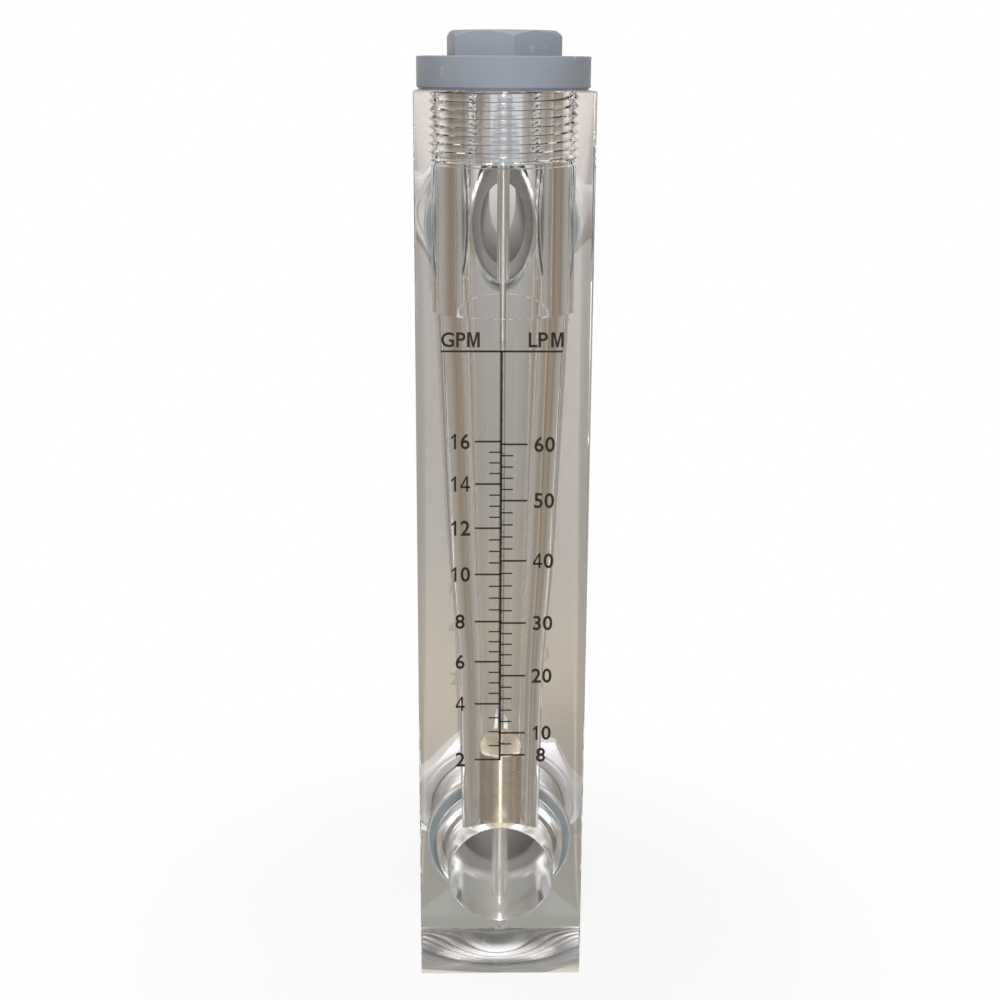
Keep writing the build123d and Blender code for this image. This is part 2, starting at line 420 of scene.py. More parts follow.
def ridge_tree():
    """A trapezium swept along a right hand helix, fading out over the given turns at either end."""
    tree, given, result = node_tree("helical_ridge", (
        ("Radius", "Float"), ("Turns", "Float"), ("Rise", "Float"), ("Root Width", "Float"),
        ("Crest Width", "Float"), ("Depth", "Float"), ("Start Fade", "Float"), ("End Fade", "Float")))
    sizes = given.outputs
    helix = added(tree, "GeometryNodeCurveSpiral", {
        "Resolution": THREAD_STEPS, "Reverse": True, "Rotations": sizes["Turns"], "Height": sizes["Rise"],
        "Start Radius": sizes["Radius"], "End Radius": sizes["Radius"]})
    upright = added(tree, "GeometryNodeSetCurveNormal", {"Curve": helix.outputs["Curve"]}, mode="Z_UP")
    section = added(tree, "GeometryNodeCurvePrimitiveQuadrilateral", {
        "Bottom Width": sizes["Root Width"], "Top Width": sizes["Crest Width"], "Height": sizes["Depth"],
        "Offset": 0.0}, mode="TRAPEZOID")
    outward = added(tree, "GeometryNodeTransform", {
        "Geometry": section.outputs["Curve"], "Rotation": (0, 0, math.radians(-90))})
    place = added(tree, "GeometryNodeSplineParameter")
    done = math_node(tree, "MULTIPLY", place.outputs["Factor"], sizes["Turns"])
    left = math_node(tree, "SUBTRACT", sizes["Turns"], done)
    start = math_node(tree, "DIVIDE", done, sizes["Start Fade"])
    end = math_node(tree, "DIVIDE", left, sizes["End Fade"])
    size = math_node(tree, "MINIMUM", math_node(tree, "MINIMUM", start, end), 1.0)
    sweep = added(tree, "GeometryNodeCurveToMesh", {
        "Fill Caps": True, "Scale": math_node(tree, "MAXIMUM", size, 0.02), "Curve": upright.outputs["Curve"],
        "Profile Curve": outward.outputs["Geometry"]})
    return finish_tree(tree, given, result, sweep.outputs["Mesh"])


def marks_tree():
    """Evenly spaced bars between two places."""
    tree, given, result = node_tree("scale_marks", (
        ("Count", "Int"), ("First", "Vector"), ("Last", "Vector"), ("Bar", "Vector")))
    sizes = given.outputs
    ends = {"Count": sizes["Count"], "Start Location": sizes["First"], "Offset": sizes["Last"]}
    row = added(tree, "GeometryNodeMeshLine", ends, mode="END_POINTS")
    bar = added(tree, "GeometryNodeMeshCube", {"Size": sizes["Bar"]})
    placed = added(tree, "GeometryNodeInstanceOnPoints", {
        "Points": row.outputs["Mesh"], "Instance": bar.outputs["Mesh"]})
    return finish_tree(tree, given, result, placed.outputs["Instances"])


def helical_ridge(name, tree, material, radii, width, pitch, span, fades, flank=30.0, sink=0.35):
    """Thread ridge between two heights, in metres, sunk a little into the core that carries it.

    radii are the root's and the crest's, width is the crest's, and fades are turns at the start and the end.
    """
    root_radius, crest_radius = radii
    start, end = span
    depth = crest_radius - root_radius + sink
    root_width = width + 2 * depth * math.tan(math.radians(flank))
    piece = grown(name, tree, {
        "Radius": (crest_radius - depth / 2) * MM, "Turns": (end - start) / pitch, "Rise": (end - start) * MM,
        "Root Width": root_width * MM, "Crest Width": width * MM, "Depth": depth * MM,
        "Start Fade": fades[0], "End Fade": fades[1], "Material": material})
    piece.data.transform(Matrix.Translation((0, 0, start * MM)))
    return piece


# Materials

def shader(name):
    """New material, with its node tree and its surface shader."""
    material = bpy.data.materials.new(name)
    material.use_nodes = True
    tree = material.node_tree
    surface = next(n for n in tree.nodes if n.type == "BSDF_PRINCIPLED")
    return material, tree, surface


def mixed(tree, share, first, second):
    """Mix of two shaders."""
    return added(tree, "ShaderNodeMixShader", {0: share, 1: first, 2: second}).outputs["Shader"]


def use_surface(tree, result):
    """Make a shader the material's surface."""
    output = next(n for n in tree.nodes if n.type == "OUTPUT_MATERIAL")
    tree.links.new(result, output.inputs["Surface"])


def noise_on(tree, scale, stretch=(1, 1, 1), detail=3.0):
    """Noise on the piece's own coordinates, stretched along its axes."""
    place = added(tree, "ShaderNodeTexCoord")
    mapping = added(tree, "ShaderNodeMapping", {"Vector": place.outputs["Object"], "Scale": stretch})
    return added(tree, "ShaderNodeTexNoise", {
        "Vector": mapping.outputs["Vector"], "Scale": scale, "Detail": detail})


def ramp(tree, factor, *stops):
    """Colour ramp from (position, value or colour) stops."""
    node = added(tree, "ShaderNodeValToRGB", {"Fac": factor})
    elements = node.color_ramp.elements
    while len(elements) < len(stops):
        elements.new(0.5)
    for element, (position, value) in zip(elements, stops):
        element.position = position
        element.color = (value, value, value, 1) if isinstance(value, float) else (*value, 1)
    return node.outputs["Color"]


def bumped(tree, surface, height, strength, distance):
    """Fine relief on a surface, with its distance in millimetres."""
    bump = added(tree, "ShaderNodeBump", {"Height": height, "Strength": strength, "Distance": distance * MM})
    tree.links.new(bump.outputs["Normal"], surface.inputs["Normal"])


def clear_acrylic(name, roughness, tint):
    """Clear acrylic. Lamps shine through it, so that what is inside is lit and its shadow is light."""
    material, tree, surface = shader(name)
    surface.inputs["Base Color"].default_value = (*tint, 1)
    surface.inputs["Roughness"].default_value = roughness
    surface.inputs["IOR"].default_value = 1.49
    surface.inputs["Transmission Weight"].default_value = 1.0
    path = added(tree, "ShaderNodeLightPath")
    veil = added(tree, "ShaderNodeBsdfTransparent", {"Color": (0.93, 0.93, 0.92, 1)})
    shadow_ray = path.outputs["Is Shadow Ray"]
    use_surface(tree, mixed(tree, shadow_ray, surface.outputs["BSDF"], veil.outputs["BSDF"]))
    return material, tree, surface


def polished_acrylic():
    """The block's outer faces, with faint upright polishing marks."""
    material, tree, surface = clear_acrylic("acrylic_polished", 0.0, (0.985, 0.985, 0.98))
    scratches = noise_on(tree, 60.0, (1, 1, 0.06), 2.0)
    bumped(tree, surface, scratches.outputs["Fac"], 0.05, 0.02)
    return material


def bored_acrylic():
    """Bored and polished by a turning tool, which leaves faint rings across the bore."""
    material, tree, surface = clear_acrylic("acrylic_bored", 0.02, (0.975, 0.975, 0.97))
    rings = noise_on(tree, 900.0, (0.02, 0.02, 1), 2.0)
    bumped(tree, surface, rings.outputs["Fac"], 0.08, 0.02)
    return material


def milled_acrylic():
    """Bored and left with a fine tool finish, so that it looks a little frosted."""
    material, tree, surface = clear_acrylic("acrylic_milled", 0.16, (0.95, 0.955, 0.96))
    rings = noise_on(tree, 700.0, (0.05, 1, 0.05), 2.0)
    bumped(tree, surface, rings.outputs["Fac"], 0.15, 0.03)
    return material


def turned_plastic(name, colour, dark):
    """Grey plastic turned from bar: fine tool rings, faint mottling and paler rubbed spots."""
    material, tree, surface = shader(name)
    mottle = noise_on(tree, 55.0)
    shade = ramp(tree, mottle.outputs["Fac"], (0.3, dark), (0.7, colour))
    rub = noise_on(tree, 240.0)
    rubbed = ramp(tree, rub.outputs["Fac"], (0.66, 0.0), (0.74, 0.35))
    pale = added(tree, "ShaderNodeMix", {0: rubbed, "A": shade, "B": (0.6, 0.62, 0.66, 1)}, data_type="RGBA")
    tree.links.new(pale.outputs["Result"], surface.inputs["Base Color"])
    gloss = noise_on(tree, 35.0)
    tree.links.new(ramp(tree, gloss.outputs["Fac"], (0.3, 0.34), (0.7, 0.46)), surface.inputs["Roughness"])
    surface.inputs["Specular IOR Level"].default_value = 0.5
    rings = noise_on(tree, 1500.0, (0.1, 0.1, 1), 2.0)
    bumped(tree, surface, rings.outputs["Fac"], 0.1, 0.02)
    return material


def steel(name, colour, roughness, ring_strength, axis="Z", spread=0.0):
    """Stainless steel turned round an axis; spread draws its highlights out across the fine turning rings."""
    material, tree, surface = shader(name)
    surface.inputs["Metallic"].default_value = 1.0
    mottle = noise_on(tree, 90.0, (1, 1, 0.3))
    darker = tuple(part * 0.9 for part in colour)
    shade = ramp(tree, mottle.outputs["Fac"], (0.3, darker), (0.7, colour))
    tree.links.new(shade, surface.inputs["Base Color"])
    stretch = (0.04, 0.04, 1) if axis == "Z" else (0.04, 1, 0.04)
    fine = noise_on(tree, 1400.0, stretch, 3.0)
    tree.links.new(ramp(tree, fine.outputs["Fac"], (0.3, roughness * 0.8), (0.7, roughness * 1.3)),
                   surface.inputs["Roughness"])
    surface.inputs["Anisotropic"].default_value = spread
    surface.inputs["Anisotropic Rotation"].default_value = 0.25
    along = added(tree, "ShaderNodeTangent", direction_type="RADIAL", axis=axis)
    tree.links.new(along.outputs["Tangent"], surface.inputs["Tangent"])
    bumped(tree, surface, fine.outputs["Fac"], ring_strength, 0.01)
    return material


def rubber():
    """Pale grey silicone."""
    material, tree, surface = shader("seal_rubber")
    mottle = noise_on(tree, 200.0)
    shade = ramp(tree, mottle.outputs["Fac"], (0.3, (0.35, 0.38, 0.40)), (0.7, (0.40, 0.43, 0.45)))
    tree.links.new(shade, surface.inputs["Base Color"])
    surface.inputs["Roughness"].default_value = 0.5
    bumped(tree, surface, mottle.outputs["Fac"], 0.1, 0.05)
    return material


def sleeve_plastic():
    """Translucent tube, a little milky."""
    material, tree, surface = clear_acrylic("sleeve_clear", 0.05, (0.95, 0.955, 0.96))
    surface.inputs["IOR"].default_value = 1.38
    surface.inputs["Transmission Weight"].default_value = 0.97
    streaks = noise_on(tree, 400.0, (1, 1, 0.05))
    bumped(tree, surface, streaks.outputs["Fac"], 0.1, 0.02)
    return material


def printed_ink():
    """Dark screen ink, with the slightly uneven cover of a print."""
    material, tree, surface = shader("scale_ink")
    cover = noise_on(tree, 700.0)
    shade = ramp(tree, cover.outputs["Fac"], (0.3, (0.010, 0.006, 0.004)), (0.75, (0.022, 0.015, 0.011)))
    tree.links.new(shade, surface.inputs["Base Color"])
    surface.inputs["Roughness"].default_value = 0.5
    bumped(tree, surface, cover.outputs["Fac"], 0.1, 0.02)
    return material


# Pieces

def cutter(name, mesh, material):
    """Closed tool that leaves its material on what it cuts."""
    mesh.materials.append(material)
    return new_piece(name, mesh)


def bore_outline():
    """Half section of all that is bored from the top, as radius and height, from the axis to the axis."""
    points = [(0, inlet_z), (bore_cones[-1][1], inlet_z)]
    points += [(radius, block_top - depth) for depth, radius in reversed(bore_cones)]
    points += [
        (chamber_radius, block_top - chamber_depth),
        (chamber_radius, block_top - thread_depth),
        (thread_crest_radius, block_top - thread_depth + chamber_radius - thread_crest_radius),
        (thread_crest_radius, block_top - mouth_chamfer),
        (thread_crest_radius + 2 * mouth_chamfer, block_top + mouth_chamfer),
        (0, block_top + mouth_chamfer),
    ]
    return points


def port_outline(deep):
    """Half section of a port, as radius and place along Y; the inlet goes on into its end chamber."""
    step_y = rear_y - port_depth
    if deep:
        chamber = [(0, chamber_front_y), (chamber_end_radius, chamber_front_y), (chamber_end_radius, step_y)]
        points = rounded(chamber, chamber_end_round)
    else:
        points = [(0, step_y)]
    return points + [
        (port_crest_radius, step_y),
        (port_crest_radius, rear_y - seal_pocket_depth),
        (seal_pocket_radius, rear_y - seal_pocket_depth),
        (seal_pocket_radius, rear_y + 1),
        (0, rear_y + 1),
    ]


def make_block(ridges, polished, bored, milled):
    """Clear block: a box with polished edges, bored, threaded and drilled."""
    size = block_high - block_low
    middle = (block_low + block_high) / 2
    shell = bmesh.new()
    bmesh.ops.create_cube(shell, size=1.0, matrix=Matrix.Translation(middle) @ Matrix.Diagonal((*size, 1)))
    bmesh.ops.bevel(shell, geom=list(shell.edges), offset=block_edge_radius, segments=3, profile=0.5,
                    affect="EDGES")
    mesh = bpy.data.meshes.new("meter_block")
    shell.to_mesh(mesh)
    shell.free()
    mesh.materials.append(polished)
    block = new_piece("meter_block", mesh)
    tools = [cutter("bore_tool", turned_mesh("bore_tool", bore_outline()), bored)]
    start = block_top - thread_right_side_depth - mouth_thread_below * thread_pitch
    span = (start, start + mouth_thread_turns * thread_pitch)
    tools.append(helical_ridge("thread_tool", ridges, bored, (thread_crest_radius, thread_root_radius),
                               thread_root_flat, thread_pitch, span, (1.0, 0.01), thread_flank_angle,
                               thread_flank_sink))
    for name, port_z in (("inlet", inlet_z), ("outlet", outlet_z)):
        mesh = turned_mesh(f"{name}_tool", port_outline(name == "inlet"))
        tools.append(cutter(f"{name}_tool", to_port(mesh, port_z), milled))
        span = (rear_y - port_depth + port_thread_runout, rear_y - seal_pocket_depth)
        ridge = helical_ridge(f"{name}_thread_tool", ridges, milled, (port_crest_radius, port_root_radius),
                              port_root_flat, port_pitch, span, (0.5, 0.3))
        to_port(ridge.data, port_z, MM)
        tools.append(ridge)
    hole = rounded([(0, rod_hole_floor), (rod_hole_radius, rod_hole_floor), (rod_hole_radius, inlet_z),
                    (0, inlet_z)], rod_hole_round)
    tools.append(cutter("rod_hole_tool", turned_mesh("rod_hole_tool", hole, steps=HOLE_STEPS), milled))
    cut(block, tools)
    return finish_piece(block, "meter", "meter_body", 22.0)


def make_plug(ridges, plastic):
    """Top plug: turned shank and flange, threaded, with a hexagon whose corners are turned off."""
    under = block_top
    shank_end = plug_low.z
    flange_top = plug_high.z - hex_height
    groove_inner = seal_inner_radius - seal_gap
    groove_outer = seal_inner_radius + seal_width + seal_gap
    outline = rounded([
        (0, shank_end),
        (plug_core_radius - plug_end_chamfer, shank_end),
        (plug_core_radius, shank_end + plug_end_chamfer),
        (plug_core_radius, under),
        (groove_inner, under),
        (groove_inner, under + seal_height),
        (groove_outer, under + seal_height),
        (groove_outer, under),
        (flange_radius - flange_under_chamfer, under),
        (flange_radius, under + flange_under_chamfer),
        (flange_radius, flange_top),
        (0, flange_top),
    ], [0, 0, 0, 0, 0, 0, 0, 0, 0.12, 0.2, flange_edge_round, 0])
    body = new_piece("plug_body", turned_mesh("plug_body", outline))
    start = block_top - thread_right_side_depth - plug_thread_below * thread_pitch
    span = (start, start + plug_thread_turns * thread_pitch)
    thread = helical_ridge("plug_thread", ridges, plastic, (plug_core_radius, plug_crest_radius),
                           plug_crest_width, thread_pitch, span, (0.5, 0.4), thread_flank_angle,
                           thread_flank_sink)
    prism = hex_mesh("plug_hex", hex_across_flats, flange_top - hex_sink, plug_high.z + 1, hex_turn)
    head = new_piece("plug_hex", prism)
    corner_radius = hex_across_flats / 2 / math.cos(math.radians(30))
    flat_radius = hex_across_flats / 2 * hex_face_share
    drop = (corner_radius - flat_radius) * math.tan(math.radians(30))
    dome = rounded([(0, flange_top - 1), (corner_radius + 1, flange_top - 1),
                    (corner_radius + 1, plug_high.z - drop * hex_drop_share), (flat_radius, plug_high.z),
                    (0, plug_high.z)], [0, 0, 0, hex_top_round, 0])
    cut(head, [new_piece("plug_dome", turned_mesh("plug_dome", dome))], "INTERSECT")
    bevelled(head, 0.4, 35.0)
    for piece in (body, head):
        piece.data.materials.clear()
        piece.data.materials.append(plastic)
    plug = joined("plug_turned", [body, thread, head])
    return finish_piece(plug, "plug", "top_plug")


def make_ring(name, body, node, material, outline, corner, port_z=None):
    """Turned ring with rounded corners, round the bore or round a port."""
    mesh = turned_mesh(name, rounded(outline, corner, closed=True), closed=True)
    if port_z is not None:
        to_port(mesh, port_z)
    mesh.materials.append(material)
    return finish_piece(new_piece(name, mesh), body, node)


def box_outline(inner, outer, low, high):
    """Section of a plain ring."""
    return [(inner, low), (outer, low), (outer, high), (inner, high)]


def make_rod(metal):
    """Guide rod with rounded ends."""
    low, high = node_box("guide_rod")
    outline = rounded([(0, low.z), (high.x, low.z), (high.x, high.z), (0, high.z)], rod_end_round)
    mesh = turned_mesh("rod", outline, steps=SLIM_STEPS)
    mesh.materials.append(metal)
    return finish_piece(new_piece("rod_drawn", mesh), "plug", "guide_rod")


def make_float(metal):
    """Float with a crisp top edge that the scale is read at, and a chamfered foot."""
    low, high = node_box("float")
    outline = rounded([
        (rod_bore_radius + float_bore_chamfer, low.z),
        (high.x - float_foot_chamfer, low.z),
        (high.x, low.z + float_foot_chamfer),
        (high.x, high.z - float_top_chamfer),
        (high.x - float_top_chamfer, high.z),
        (rod_bore_radius + float_bore_chamfer, high.z),
        (rod_bore_radius, high.z - float_bore_chamfer),
        (rod_bore_radius, low.z + float_bore_chamfer),
    ], float_round, steps=3, closed=True)
    mesh = turned_mesh("float_turned", outline, closed=True)
    mesh.materials.append(metal)
    return finish_piece(new_piece("float_turned", mesh), "float", "float")


def make_connector(side, port_z, ridges, metal, bored):
    """Rear connector, turned and threaded at both ends, with a collar between them, and painted shade in its
    bore and at its front end.
    """
    collar_back = rear_y + collar_thickness
    end = collar_back + barrel_length
    outline = rounded([
        (connector_bore_radius, connector_front_y),
        (connector_core_radius - connector_end_chamfer, connector_front_y),
        (connector_core_radius, connector_front_y + connector_end_chamfer),
        (connector_core_radius, rear_y),
        (collar_radius, rear_y),
        (collar_radius, collar_back),
        (barrel_core_radius, collar_back),
        (barrel_core_radius, end - barrel_end_chamfer),
        (barrel_core_radius - barrel_end_chamfer, end),
        (connector_bore_radius + connector_mouth_chamfer, end),
        (connector_bore_radius, end - connector_mouth_chamfer),
    ], [0.3, 0.1, 0.1, 0, 0.15, 0.3, 0, 0.1, 0.15, 0.15, 0.15], closed=True)
    body = new_piece("connector_body", turned_mesh("connector_body", outline, closed=True))
    body.data.materials.append(metal)
    body.data.materials.append(bored)
    # Painted shade: faces in the bore and at the front end, inside the port, take the darker steel
    bore_reach = (connector_bore_radius + bore_shade_margin) * MM
    front_reach = (rear_y - front_shade_end) * MM
    for face in body.data.polygons:
        if face.center.xy.length < bore_reach or face.center.z < front_reach:
            face.material_index = 1
    block_thread = helical_ridge(
        "block_thread", ridges, metal, (connector_core_radius, connector_crest_radius), crest_width,
        port_pitch, (connector_front_y + block_thread_start, rear_y - block_thread_end), (0.5, 0.4))
    panel_thread = helical_ridge(
        "panel_thread", ridges, metal, (barrel_core_radius, barrel_crest_radius), crest_width, port_pitch,
        (collar_back + panel_thread_margin, end - panel_thread_margin), (0.5, 0.5))
    connector = joined(f"{side}_connector_turned", [body, block_thread, panel_thread])
    to_port(connector.data, port_z, MM)
    return finish_piece(connector, "meter", f"{side}_connector")


def nut_mesh(name, across_flats, low, high, bore, mouth, turn):
    """Hexagonal nut with both ends turned off at 30 degrees, bored, with a chamfered mouth at either end."""
    face_radius = across_flats / 2 * nut_face_share
    verts = []
    for step in range(NUT_STEPS):
        from_corner = math.radians(360 * step / NUT_STEPS)
        reach = across_flats / 2 / math.cos(from_corner % math.radians(60) - math.radians(30))
        drop = (reach - face_radius) * math.tan(math.radians(30))
        profile = [(bore, low + mouth), (bore + mouth, low), (face_radius, low), (reach, low + drop),
                   (reach, high - drop), (face_radius, high), (bore + mouth, high), (bore, high - mouth)]
        angle = from_corner + math.radians(turn - 90)
        verts += [(radius * math.cos(angle), radius * math.sin(angle), height) for radius, height in profile]
    faces = []
    for step in range(NUT_STEPS):
        here = 8 * step
        there = 8 * ((step + 1) % NUT_STEPS)
        faces += [[here + k, there + k, there + (k + 1) % 8, here + (k + 1) % 8] for k in range(8)]
    return mesh_from(name, verts, faces)


def make_nut(side, port_z, ridges, metal):
    """Panel nut, bored and threaded."""
    low, high = node_box(f"{side}_panel_nut")
    crest = barrel_core_radius + nut_core_gap
    mesh = nut_mesh("nut", nut_across_flats, low.y, high.y, crest, nut_mouth_chamfer, 90 + nut_turn)
    nut = bevelled(new_piece("nut", mesh), 0.3, 50.0)
    nut.data.materials.clear()
    nut.data.materials.append(metal)
    start = rear_y + collar_thickness + panel_thread_margin
    turns_before = math.floor((low.y - start) / port_pitch) - 1
    groove_start = start + turns_before * port_pitch
    span = (groove_start, groove_start + nut_groove_turns * port_pitch)
    cut(nut, [helical_ridge("nut_thread_tool", ridges, metal, (crest, barrel_crest_radius + nut_groove_gap),
                            nut_groove_width, port_pitch, span, (0.2, 0.2))])
    nut.name = f"{side}_nut_turned"
    to_port(nut.data, port_z, MM)
    return finish_piece(nut, f"{side}_nut", f"{side}_panel_nut")


def bars(tree, ink, count, first_depth, last_depth, centre_x, length, width):
    """Row of printed bars between two depths."""
    place = [(centre_x * MM, ink_y * MM, (block_top - depth) * MM) for depth in (first_depth, last_depth)]
    return grown("bars", tree, {"Count": count, "First": place[0], "Last": place[1],
                                "Bar": (length * MM, ink_thickness * MM, width * MM), "Material": ink})


def word(text, height, centre_x, depth, ink):
    """Bold printed characters centred at a place on the front face."""
    curve = bpy.data.curves.new(text, "FONT")
    curve.body = text
    curve.extrude = ink_thickness / 2
    curve.offset = type_boldness
    curve.resolution_u = 4
    curve.size = 1.0
    holder = linked(text, curve)
    graph = bpy.context.evaluated_depsgraph_get()
    mesh = bpy.data.meshes.new_from_object(holder.evaluated_get(graph), depsgraph=graph)
    bpy.data.objects.remove(holder)
    low = Vector([min(v.co[axis] for v in mesh.vertices) for axis in range(3)])
    high = Vector([max(v.co[axis] for v in mesh.vertices) for axis in range(3)])
    scale = height / (high.y - low.y)
    mesh.transform(Matrix.Translation(-(low + high) / 2))
    mesh.transform(Matrix.Diagonal((scale * type_width, scale, 1, 1)))
    mesh.transform(Matrix.Rotation(math.radians(90), 4, "X"))
    mesh.transform(Matrix.Translation((centre_x, ink_y, block_top - depth)))
    shell = bmesh.new()
    shell.from_mesh(mesh)
    bmesh.ops.remove_doubles(shell, verts=shell.verts, dist=1e-4)
    shell.to_mesh(mesh)
    shell.free()
    mesh.materials.clear()
    mesh.materials.append(ink)
    return new_piece(text, mesh)


def drawn(name, outline, height, width, left_x, depth, ink):
    """Bold printed character drawn by its outline."""
    verts = []
    for side in (-0.5, 0.5):
        verts += [(left_x + x * width, ink_y + side * ink_thickness, block_top - depth + (z - 0.5) * height)
                  for x, z in outline]
    count = len(outline)
    faces = [list(range(count)), list(range(count, 2 * count))]
    faces += [[k, (k + 1) % count, (k + 1) % count + count, k + count] for k in range(count)]
    mesh = mesh_from(name, verts, faces)
    mesh.materials.append(ink)
    return new_piece(name, mesh)


def number(reading, centre_x, depth, ink):
    """Printed number, character by character."""
    pieces = []
    text = str(reading)
    for place, sign in enumerate(text):
        middle = centre_x + (place - (len(text) - 1) / 2) * digit_pitch
        if sign == "1":
            left_x = middle + one_left
            pieces.append(drawn("digit_one", digit_one, number_height, one_width, left_x, depth, ink))
        elif sign == "4":
            left_x = middle - four_width / 2
            pieces += [drawn("digit_four", stroke, number_height, four_width, left_x, depth, ink)
                       for stroke in digit_four]
        else:
            pieces.append(word(sign, number_height, middle, depth, ink))
    return pieces


def make_print(tree, ink):
    """Printed scale: bar, upright line, marks on both sides, numbers and units."""
    pieces = [bars(tree, ink, 1, bar_depth, bar_depth, line_x, bar_length, bar_width)]
    line_end = gallon_marks[-1][1] + major_width / 2
    line_middle = (bar_depth + line_end) / 2
    pieces.append(bars(tree, ink, 1, line_middle, bar_depth, line_x, line_width, line_end - bar_depth))
    sides = ((gallon_marks, gallon_steps, -1, gallon_number_x), (litre_marks, litre_steps, 1, litre_number_x))
    for marks, steps, side, number_x in sides:
        major_x = line_x + side * major_length / 2
        minor_x = line_x + side * minor_length / 2
        for (reading, depth), (next_reading, next_depth), step in zip(marks, marks[1:], steps):
            spaces = round((reading - next_reading) / step)
            gap = (next_depth - depth) / spaces
            if spaces > 1:
                pieces.append(bars(tree, ink, spaces - 1, depth + gap, next_depth - gap, minor_x,
                                   minor_length, minor_width))
        for reading, depth in marks:
            pieces.append(bars(tree, ink, 1, depth, depth, major_x, major_length, major_width))
            pieces += number(reading, number_x, depth, ink)
    for letters, centre_x, m_left_x in unit_places:
        pieces.append(word(letters, unit_height, centre_x, unit_depth, ink))
        pieces.append(drawn("letter_m", letter_m, unit_height, unit_m_width, m_left_x, unit_depth, ink))
    scale = joined("scale_ink_print", pieces)
    return finish_piece(scale, "meter", "scale_print")


# Stage: white for the camera, and a toned room for what is seen in the acrylic and the steel

# Walls behind, beside and in front of the meter, by the height of the view, and their upright streaks
wall_tones = (
    ((0.0, (1.0, 0.90, 0.83)), (0.10, (0.95, 0.88, 0.82)), (0.30, (0.46, 0.42, 0.36)),
     (0.62, (0.46, 0.44, 0.40)), (0.75, (1.2, 1.2, 1.2)), (1.0, (1.1, 1.1, 1.1))),
    ((0.0, (0.30, 0.26, 0.22)), (0.15, (0.38, 0.34, 0.30)), (0.36, (0.70, 0.69, 0.68)),
     (0.46, (1.7, 1.7, 1.75)), (0.8, (1.7, 1.7, 1.75)), (1.0, (1.0, 1.0, 1.0))),
    ((0.0, (0.66, 0.67, 0.70)), (0.12, (0.70, 0.71, 0.74)), (0.30, (1.0, 1.0, 1.02)),
     (0.46, (2.2, 2.2, 2.25)), (0.8, (2.2, 2.2, 2.25)), (1.0, (1.0, 1.0, 1.0))))
wall_streaks = ((0.40, (0.62, 0.58, 0.54)), (0.48, (0.92, 0.90, 0.87)), (0.60, (1.0, 1.0, 1.0)),
                (0.68, (1.35, 1.35, 1.35)))

# Floor behind, beside and in front of the meter, by the distance from it, and its streaks. The floor behind
# is darker within some 20 cm of the meter: painted shadow of the block.
floor_tones = (
    ((0.01, (0.33, 0.33, 0.30)), (0.03, (0.31, 0.28, 0.24)), (0.07, (0.41, 0.36, 0.29)),
     (0.12, (0.35, 0.33, 0.30)), (0.42, (0.41, 0.39, 0.38)), (0.62, (0.88, 0.80, 0.76))),
    ((0.02, (0.34, 0.32, 0.29)), (0.1, (0.30, 0.25, 0.19)), (0.5, (0.24, 0.20, 0.16))),
    ((0.02, (0.46, 0.47, 0.50)), (0.15, (0.50, 0.51, 0.54)), (0.4, (0.50, 0.51, 0.54)),
     (0.8, (0.62, 0.63, 0.66))))
floor_streaks = ((0.42, (0.72, 0.69, 0.65)), (0.50, (0.95, 0.94, 0.92)), (0.60, (1.0, 1.0, 1.0)),
                 (0.68, (1.2, 1.2, 1.2)))
floor_reading_reach = 3.0
# Painted highlight: colour of a bright streak that glows in the floor, seen in what stands inside the acrylic
gleam_colour = (4.5, 4.1, 3.6, 1)
white = (1, 1, 1, 1)

# Lights, in metres and watts
fill_light = 0.22
floor_fill = 0.35
lamp_target = (0, 0, 0.13)
light_bounces = 24


def seen_through(tree):
    """Shares of the rays that a mirror or the acrylic sends out, and of those straight from the camera."""
    path = added(tree, "ShaderNodeLightPath")
    seen = math_node(tree, "MAXIMUM", path.outputs["Is Glossy Ray"], path.outputs["Is Transmission Ray"])
    return seen, path.outputs["Is Camera Ray"]


def blend(tree, factor, first, second, blend_type="MIX"):
    """Mix of two colours."""
    inputs = {0: factor, "A": first, "B": second}
    return added(tree, "ShaderNodeMix", inputs, data_type="RGBA", blend_type=blend_type).outputs["Result"]


def mapped(tree, value, low=0.0, high=1.0, to_low=0.0, to_high=1.0, way="LINEAR"):
    """Number carried over from one range to another, and held at its ends."""
    inputs = {"Value": value, "From Min": low, "From Max": high, "To Min": to_low, "To Max": to_high}
    return added(tree, "ShaderNodeMapRange", inputs, interpolation_type=way).outputs["Result"]


def room_tones(tree, direction, reading, tones, streaks):
    """Colour of the room in a direction, with tones taken by a reading, and that direction laid level."""
    flat = added(tree, "ShaderNodeVectorMath", {0: direction, 1: (1, 1, 0)}, operation="MULTIPLY")
    unit = added(tree, "ShaderNodeVectorMath", {0: flat.outputs["Vector"]}, operation="NORMALIZE")
    level = unit.outputs["Vector"]
    parts = added(tree, "ShaderNodeSeparateXYZ", {"Vector": level})
    behind = mapped(tree, parts.outputs["Y"], 0.25, 0.93, way="SMOOTHSTEP")
    front = mapped(tree, parts.outputs["Y"], -0.55, -0.92, way="SMOOTHSTEP")
    rear, beside, facing = (ramp(tree, reading, *stops) for stops in tones)
    room = blend(tree, front, blend(tree, behind, beside, rear), facing)
    patches = added(tree, "ShaderNodeTexNoise", {"Vector": level, "Scale": 3.2, "Detail": 2.0})
    shade = blend(tree, behind, ramp(tree, patches.outputs["Fac"], *streaks), white)
    return blend(tree, 1.0, room, shade, "MULTIPLY"), level


